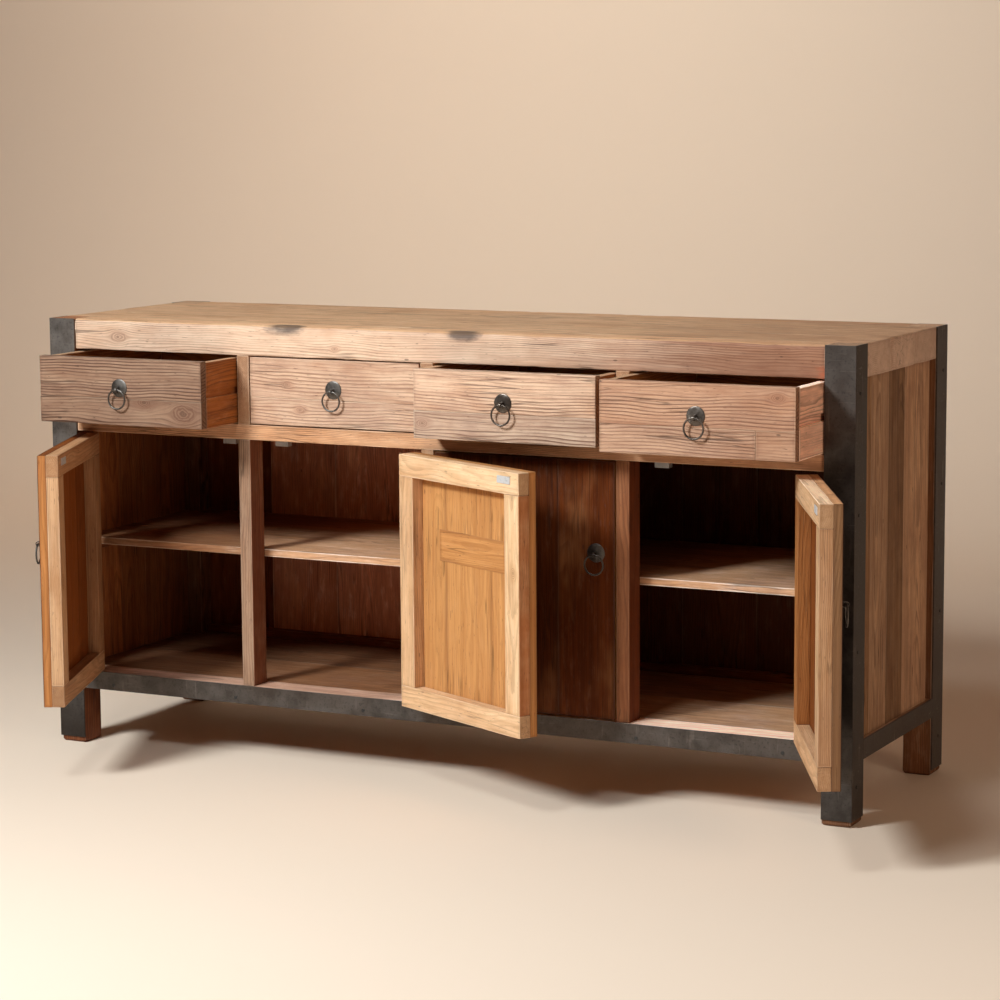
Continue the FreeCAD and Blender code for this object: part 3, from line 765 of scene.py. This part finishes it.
    rim = net.times(edges, net.fade(cloud, 0.3, 0.55, 0.6, 1))
    colour = net.tinted(colour, net.mix(rim, WHITE, rgb(0.60, 0.28, 0.11)))
    tint = net.mix(warm, WHITE, rgb(1.16, 0.70, 0.42))
    colour = net.tinted(colour, tint)
    colour = net.add("HueSaturation", {"Saturation": net.minus(1.0, grey), "Color": colour}, out="Color")
    colour = net.tinted(colour, net.grey(tone))
    colour = net.mix(pin, colour, rgb(0.04, 0.02, 0.012))
    colour = net.mix(crack, colour, rgb(0.02, 0.009, 0.005))
    net.plug(net.surface.inputs["Base Color"], colour)

    blur = net.fade(net.plus(fibre, net.times(cloud, 0.6)), 0.4, 1.1, WOOD_ROUGH - 0.1, WOOD_ROUGH + 0.14)
    net.plug(net.surface.inputs["Roughness"], blur)
    net.surface.inputs["Specular IOR Level"].default_value = shine
    height = net.plus(net.times(fibre, 0.5), net.times(late, 1.2 * raised))
    height = net.minus(height, net.times(crack, 1.8))
    height = net.minus(height, net.times(pin, 1.2))
    height = net.plus(height, net.times(ribbon, 0.5))
    height = net.plus(height, net.times(patchy, 0.6))
    net.relief(height, 0.3 + 0.5 * raised, 0.9 * MM)
    return net.material


def metal(name, base, worn, rough=0.42, shine=0.6, scratch=0.5, mottle=0.5, warm=0.3):
    """Steel or iron with a patina: cloudy tone, fine scratches, brown bloom and brighter rubbed spots."""
    net = Net(name)
    place = net.add("TexCoord", out="Object")
    shade = net.parts(net.attribute("shade"))[0]
    cloud = net.noise(place, 13, 5, 0.68)
    broad = net.noise(place, 4, 3, 0.6)
    speck = net.noise(place, 170, 3, 0.6)
    scuff_a = net.noise(net.scaled(place, 90, 90, 6), 1, 3, 0.6, 0.5)
    scuff_b = net.noise(net.scaled(place, 8, 80, 170), 1, 3, 0.6, 0.9)
    mark = net.math("MAXIMUM", net.fade(scuff_a, 0.60, 0.70), net.fade(scuff_b, 0.61, 0.71))
    mark = net.times(mark, net.fade(cloud, 0.38, 0.62))
    colour = net.mix(net.fade(cloud, 0.34, 0.70, 0.0, mottle), rgb(*base), rgb(*worn))
    bloom = rgb(base[0] * 1.5, base[1] * 1.05, base[2] * 0.75)
    colour = net.mix(net.fade(broad, 0.42, 0.66, 0.0, warm), colour, bloom)
    colour = net.mix(net.fade(speck, 0.52, 0.72, 0.0, 0.45), colour, rgb(*[c * 0.4 for c in base]))
    colour = net.mix(net.times(mark, scratch), colour, rgb(*[min(1, c * 2.0) for c in worn]))
    colour = net.tinted(colour, net.grey(net.plus(shade, 1.0)))
    net.plug(net.surface.inputs["Base Color"], colour)
    net.surface.inputs["Metallic"].default_value = shine
    blur = net.fade(net.plus(cloud, net.times(mark, -0.3)), 0.2, 0.8, rough - 0.1, rough + 0.16)
    net.plug(net.surface.inputs["Roughness"], blur)
    net.relief(net.plus(speck, net.times(cloud, 0.8)), 0.25, 0.25 * MM)
    return net.material


def pine(light, dark, **settings):
    return lambda name: wood(name, light, dark, **settings)


def iron(base, worn, **settings):
    return lambda name: metal(name, base, worn, **settings)


RECIPES = {
    # The top darkens and reddens towards its right end: partly a redder wood, partly painted shade where the
    # light falls off.
    "top_pine": pine((0.80, 0.56, 0.39), (0.48, 0.27, 0.17), upper=((0.88, 0.535, 0.295), (0.53, 0.275, 0.137)),
                     figure=0.5, streaks=0.45, mottle=0.5, rubbed=0.5, ring=4 * MM, stains=0.45,
                     ageing=(0.22, 0.64, (0.50, 0.345, 0.28)), paint=(0.808, 0.828, (0.42, 0.105, 0.045))),
    "leg_pine": pine((0.28, 0.115, 0.042), (0.11, 0.037, 0.012),
                     upper=((0.74, 0.45, 0.26), (0.46, 0.24, 0.13))),
    "carcass_pine": pine((0.26, 0.072, 0.018), (0.11, 0.024, 0.005), figure=0.4, rubbed=0.2, shine=0.15),
    # Each shelf grows paler towards its right end: painted light where the light reaches into the second and
    # fourth bays.
    "shelf_pine": pine((0.40, 0.18, 0.08), (0.19, 0.065, 0.02), figure=0.4, rubbed=0.5,
                       ageing=(-0.12, 0.12, (2.1, 2.7, 3.4))),
    "frame_pine": pine((0.66, 0.38, 0.21), (0.32, 0.145, 0.065), figure=0.5, rubbed=0.5),
    "panel_pine": pine((0.80, 0.44, 0.20), (0.34, 0.145, 0.058), figure=0.5, stains=0.7, streaks=0.7,
                       mottle=0.5),
    "drawer_front_pine": pine((0.84, 0.58, 0.40), (0.44, 0.23, 0.145), ring=6 * MM, figure=0.9, sharp=0.42,
                              mottle=0.5, raised=0.9, rubbed=0.5, wave=20 * MM, weather=0.4),
    "drawer_case_pine": pine((0.46, 0.165, 0.032), (0.20, 0.055, 0.010), rubbed=0.8,
                             upper=((0.80, 0.52, 0.30), (0.52, 0.28, 0.13))),
    "door_plank_pine": pine((0.62, 0.30, 0.105), (0.38, 0.145, 0.042),
                            front=((0.135, 0.0285, 0.0035), (0.034, 0.0058, 0.0006)), figure=0.3, stains=0.15,
                            mottle=0.12, streaks=0.6, weather=0.0, cracks=0.45, shine=0.1, dirt=0.45,
                            rubbed=0.06),
    "door_frame_pine": pine((0.86, 0.58, 0.34), (0.50, 0.26, 0.11), figure=0.3, rubbed=0.5, stains=0.4,
                            cracks=0.35),
    "blackened_steel": iron((0.052, 0.043, 0.037), (0.145, 0.125, 0.110), rough=0.46, mottle=0.75,
                            scratch=0.22),
    "hinge_steel": iron((0.14, 0.13, 0.12), (0.26, 0.25, 0.24)),
    "zinc_plate": iron((0.62, 0.62, 0.62), (0.80, 0.80, 0.79), rough=0.36, scratch=0.2, shine=0.3, mottle=0.4,
                       warm=0.1),
    "aged_iron": iron((0.075, 0.062, 0.052), (0.27, 0.245, 0.22), rough=0.34, shine=0.8),
    "screw_steel": iron((0.03, 0.03, 0.03), (0.08, 0.08, 0.08)),
}
MADE = {}


def material(slot):
    if slot not in MADE:
        MADE[slot] = RECIPES[slot](slot)
    return MADE[slot]


# ---------------------------------------------------------------- the carcass

TOP_END = (1.36, 0, 0.13)
wooden("top_planks",
       Look(1.0, 0.0, 0.0, roll=11 * MM, knots=((-0.87, -0.1, 0.011), (-0.25, -0.35, 0.005)), painted=True,
            bites=((-0.32, 5 * MM, 0.040), (0.075, 8 * MM, 0.034)), rim=TOP_END),
       *[Look(tone, rim=TOP_END) for tone in (0.95, 1.0, 0.93, 1.04)], edge=2.6 * MM, wear=1.4, step=0.012)
wooden("leg_timbers", Look(0.65, 0.9), Look(0.9), Look(1.0), Look(1.2), edge=2 * MM)
wooden("base_bearers")
wooden("bottom_boards", Look(2.1, 0, 0.24), Look(0.7), Look(0.75), Look(0.65))
wooden("mid_rail", Look(1.15, 0.1), edge=1.6 * MM)
wooden("drawer_dividers", Look(1.15), edge=1.6 * MM)
wooden("door_posts", Look(0.68, 0.1, 0.1, edges=1.0), Look(0.9), Look(0.5, 0.9, edges=0.6),
       edge=1.6 * MM, wear=1.3)
wooden("centre_partition")
BACK_TONES = (1.3, 1.5, 1.1, 1.6, 1.2, 1.4, 1.1, 1.5, 1.2, 1.4)
# The inner faces of the back planks get tones plank by plank: painted light where the light reaches into a bay,
# painted shade behind the shaded bays.
BACK_PAINTED_LIGHT = ((0.75, 0.5, 0), (2.3, 0, 0.13), (2.9, 0, 0.15), (2.7, 0, 0.15), (2.7, 0, 0.15),
              (0.7, 0, 0), (0.6, 0, 0), (0.55, 0, 0), (0.45, 0, 0), (0.5, 0, 0))
wooden("back_planks", *[Look(tone, 0, 0.2, inner=inner) for tone, inner in zip(BACK_TONES, BACK_PAINTED_LIGHT)])
wooden("back_rails")
wooden("side_panels", Look(0.66, 0, 0.1), Look(0.6, 0.8), Look(0.44, 0.1), Look(0.5, 0.8), Look(0.9, 0, 0.1),
       Look(0.45, 0.8), Look(0.55), Look(0.55, 0.8), Look(0.4), Look(0.35, 0.8))
# The left shelf is darker overall: painted shade in the first bay, which the light hardly reaches.
wooden("shelves", Look(1.0), Look(0.86, 0.1))
wooden("shelf_cleats")
wooden("drawer_runners")
DRAWER_LOOKS = {
    1: (Look(0.37, 0.35, 0, ((0.78, 0.1, 0.017), (0.3, 0.8, 0.010)), rift=True, lines=1.3),
        Look(0.40, 0.25, 0, rift=True, lines=1.3)),
    2: (Look(0.82, 0.05, 0, ((-0.4, 0.2, 0.006),), rift=True, lines=0.6),
        Look(0.82, 0.05, 0, ((-0.55, -0.3, 0.006),), rift=True, lines=0.6)),
    3: (Look(0.82, 0.05, 0.03, ((-0.9, 0.1, 0.008),), rift=True), Look(0.90, 0.1, 0, rift=True)),
    4: (Look(0.64, 0.3, 0, rift=True, cut=0.6, lines=0.8),
        Look(0.64, 0.35, 0, ((0.82, 0.5, 0.008),), rift=True, lines=0.8)),
}
CASE_LOOKS = (Look(1.0, 0.1), Look(0.9, 0.2), Look(0.9), Look(0.9))
LAST_CASE_LOOKS = (Look(1.0), Look(2.6, 0, 0.35), Look(0.9), Look(0.9))
PALE_END = (1.5, 0, 0.1)
PLANK_LOOKS = {
    1: (Look(0.38, 1.0), Look(0.42, 1.0), Look(0.4, 1.0, rim=(0.80, 0.3, 0))),
    2: (Look(0.95, lines=0.5),),
    4: (Look(0.34, 1.0, crown=PALE_END), Look(0.34, 1.0, crown=PALE_END),
        Look(0.34, 1.0, rim=(0.5, 0, 0.1), crown=PALE_END)),
}
FRAME_LOOKS = {
    1: (Look(0.70, 0.4), Look(0.74, 0.35), Look(0.55, 0.5), Look(0.78, 0.25, 0, ((0.0, 0.3, 0.011),))),
    2: (Look(0.98), Look(1.10), Look(0.96, 0.1), Look(0.98, 0.05, 0, ((0.3, -0.2, 0.007),), edges=0.85)),
    4: (Look(0.75, 0.3), Look(0.85, 0.2, crown=PALE_END), Look(0.46, 1.0, -0.05),
        Look(0.72, 0.25, edges=0.2)),
}
for number in NUMBERS:
    wooden(f"drawer_{number}_front", *DRAWER_LOOKS[number], edge=1.6 * MM, wear=1.3, step=0.02)
    wooden(f"drawer_{number}_case", *(LAST_CASE_LOOKS if number == NUMBERS[-1] else CASE_LOOKS))
    wooden(f"door_{number}_planks", *PLANK_LOOKS.get(number, ()))
    wooden(f"door_{number}_frame", *FRAME_LOOKS.get(number, ()), edge=1.5 * MM, wear=1.2)
    pull(f"drawer_{number}_pull", f"drawer_{number}_ring")
    pull(f"door_{number}_pull", f"door_{number}_ring")
    hard(f"door_{number}_strike", edge=0.4 * MM)


PATCH_SEED = 4021
SKIN_INSIDE = 25.5 * MM  # where a door's planks end, behind its hinge pin


def patch(node, low, high, look):
    """A thin board let into a door, given by two corners in the door's own frame."""
    made, quads, rows = board(plain_box(low, high), PATCH_SEED, 0.3 * MM, 1.0, look, 0.05, 0.03)
    place = own_frame(node)
    piece = mesh_piece(node + "_patch", [place @ point for point in made], quads)
    write_rows(piece, rows)
    finish_piece(piece, node, False)


patch("door_2_planks", (-0.316, SKIN_INSIDE - 5 * MM, 0.050), (-0.104, SKIN_INSIDE + 0.6 * MM, 0.112),
      Look(1.0, 0.05, lines=0.6))
hard("leg_angles", Look(0.95, rise=0.45), Look(0.75), Look(1.1), Look(1.0))
hard("base_angles")
hard("magnetic_catches", Look(0.55))

for node, shown in NODES.items():
    if not shown.hide_render:
        shown.data.materials.clear()
        shown.data.materials.append(material(SLOT[node]))


# ---------------------------------------------------------------- stage, light and camera

BACKDROP = rgb(0.83, 0.675, 0.535)
BEYOND = rgb(0.64, 0.50, 0.385)
VIEW_RIGHT, VIEW_LEFT, VIEW_FRONT = 2.9, -4.6, -1.9
FADE_OVER = 3.5
STAGE_WIDE = 40.0
FLOOR_FRONT = -24.0
WALL_BACK = 4.2
WALL_TOP = 7.0
SWEEP = 1.6
SWEEP_STEPS = 12


def backdrop_material():
    """A plain backdrop, clear from behind, that fades to an even pale tone outside the main view."""
    net = Net("backdrop")
    net.surface.inputs["Base Color"].default_value = BACKDROP
    net.surface.inputs["Roughness"].default_value = 0.9
    net.surface.inputs["Specular IOR Level"].default_value = 0.1
    x, y, _ = net.parts(net.add("TexCoord", out="Object"))
    out = net.math("MAXIMUM", net.minus(x, VIEW_RIGHT), net.minus(VIEW_LEFT, x))
    out = net.math("MAXIMUM", out, net.minus(VIEW_FRONT, y))
    share = net.times(net.fade(out, 0.0, FADE_OVER), net.add("LightPath", out="Is Camera Ray"))
    glow = net.add("Emission", {"Color": BEYOND})
    seen = net.add("MixShader", (share, net.surface.outputs[0], glow))
    clear = net.add("BsdfTransparent")
    seen = net.add("MixShader", (net.add("NewGeometry", out="Backfacing"), seen, clear))
    net.plug(net.tree.nodes["Material Output"].inputs["Surface"], seen)
    return net.material


profile = [(FLOOR_FRONT, 0.0)]
for n in range(SWEEP_STEPS + 1):
    angle = n * math.pi / (2 * SWEEP_STEPS)
    profile.append((WALL_BACK - SWEEP + SWEEP * math.sin(angle), SWEEP * (1 - math.cos(angle))))
profile.append((WALL_BACK, WALL_TOP))
points = [(x, y, z) for y, z in profile for x in (-STAGE_WIDE / 2, STAGE_WIDE / 2)]
faces = [(2 * n, 2 * n + 1, 2 * n + 3, 2 * n + 2) for n in range(len(profile) - 1)]
backdrop = mesh_piece("backdrop", points, faces)
backdrop.data.materials.append(backdrop_material())


def area_light(name, place, target, size, power, colour, spread=180):
    lamp = bpy.data.lights.new(name, "AREA")
    lamp.shape = "DISK"
    lamp.size = size
    lamp.energy = power
    lamp.color = colour
    lamp.spread = math.radians(spread)
    holder = bpy.data.objects.new(name, lamp)
    bpy.context.scene.collection.objects.link(holder)
    holder.location = place
    holder.visible_camera = False
    holder.rotation_euler = (Vector(target) - Vector(place)).to_track_quat("-Z", "Y").to_euler()
    return holder


AIM = Vector((0, -0.3, 0.4))
KEY_AWAY = 4.2


def around(left, up, away):
    """A place seen from the object at an angle left of its front and an angle above the floor."""
    left, up = math.radians(left), math.radians(up)
    return AIM + away * Vector((-math.sin(left) * math.cos(up), -math.cos(left) * math.cos(up), math.sin(up)))


def linked(lamp, name, thing, state="INCLUDE"):
    """Lets a light reach only one thing, or everything but that thing."""
    chosen = bpy.data.collections.new(name)
    chosen.objects.link(thing)
    chosen.collection_objects[0].light_linking.link_state = state
    lamp.light_linking.receiver_collection = chosen


area_light("key", around(22, 37, KEY_AWAY), AIM, 1.0, 200, (0.87, 0.955, 1.0))
area_light("side_fill", (3.1, -1.5, 1.5), (0.9, 0.0, 0.62), 1.2, 17, (1.0, 0.80, 0.62))
area_light("floor_glow", (0, -3.2, 4.5), (0.3, -1.6, 0), 1.0, 17, (0.86, 0.95, 1.0), 90)
area_light("wall_glow", (-1.0, 1.2, 4.4), (-1.6, 4.2, 3.0), 0.8, 32, (0.84, 0.96, 1.0), 110)
area_light("wall_glow_low", (-2.0, 1.2, 4.4), (-2.6, 4.2, 1.6), 0.8, 21, (1.0, 0.80, 0.62), 110)
back_fill = area_light("back_fill", (-1.0, 2.3, 0.7), (-0.1, 0.26, 0.5), 0.5, 22, (1.0, 0.95, 0.87))
linked(back_fill, "kept_dark", backdrop, "EXCLUDE")
bay_fill = area_light("bay_fill", around(12, 14, KEY_AWAY), AIM, 1.4, 3.2, (1.0, 0.80, 0.40))
linked(bay_fill, "back_only", bpy.data.objects["back_planks_shape"])

world = bpy.data.worlds.new("studio")
world.use_nodes = True
tree = world.node_tree
ambient = tree.nodes["Background"]
ambient.inputs["Color"].default_value = rgb(1.0, 0.36, 0.11)
ambient.inputs["Strength"].default_value = 0.06
beyond = tree.nodes.new("ShaderNodeBackground")
beyond.inputs["Color"].default_value = BEYOND
path = tree.nodes.new("ShaderNodeLightPath")
choice = tree.nodes.new("ShaderNodeMixShader")
sources = (path.outputs["Is Camera Ray"], ambient.outputs[0], beyond.outputs[0])
for socket, source in zip(choice.inputs, sources):
    tree.links.new(socket, source)
tree.links.new(tree.nodes["World Output"].inputs["Surface"], choice.outputs[0])
bpy.context.scene.world = world
bpy.context.scene.view_settings.view_transform = "Standard"

CAMERA_PLACE = (2.697, -5.293, 1.370)
CAMERA_YAW = 0.467
CAMERA_PITCH = -0.140
CAMERA_ROLL = -0.007
SENSOR = 36
FOCAL_LENGTH = 105.5
FARTHEST = 60
forward = Vector((-math.sin(CAMERA_YAW) * math.cos(CAMERA_PITCH),
                  math.cos(CAMERA_YAW) * math.cos(CAMERA_PITCH), math.sin(CAMERA_PITCH)))
level = Vector((math.cos(CAMERA_YAW), math.sin(CAMERA_YAW), 0))
upward = level.cross(forward)
right = level * math.cos(CAMERA_ROLL) + upward * math.sin(CAMERA_ROLL)
above = upward * math.cos(CAMERA_ROLL) - level * math.sin(CAMERA_ROLL)
lens = bpy.data.cameras.new("camera")
lens.sensor_width = SENSOR
lens.lens = FOCAL_LENGTH
lens.clip_end = FARTHEST
camera = bpy.data.objects.new("camera", lens)
bpy.context.scene.collection.objects.link(camera)
turned = Matrix((right, above, -forward)).transposed().to_4x4()
camera.matrix_world = Matrix.Translation(CAMERA_PLACE) @ turned
bpy.context.scene.camera = camera
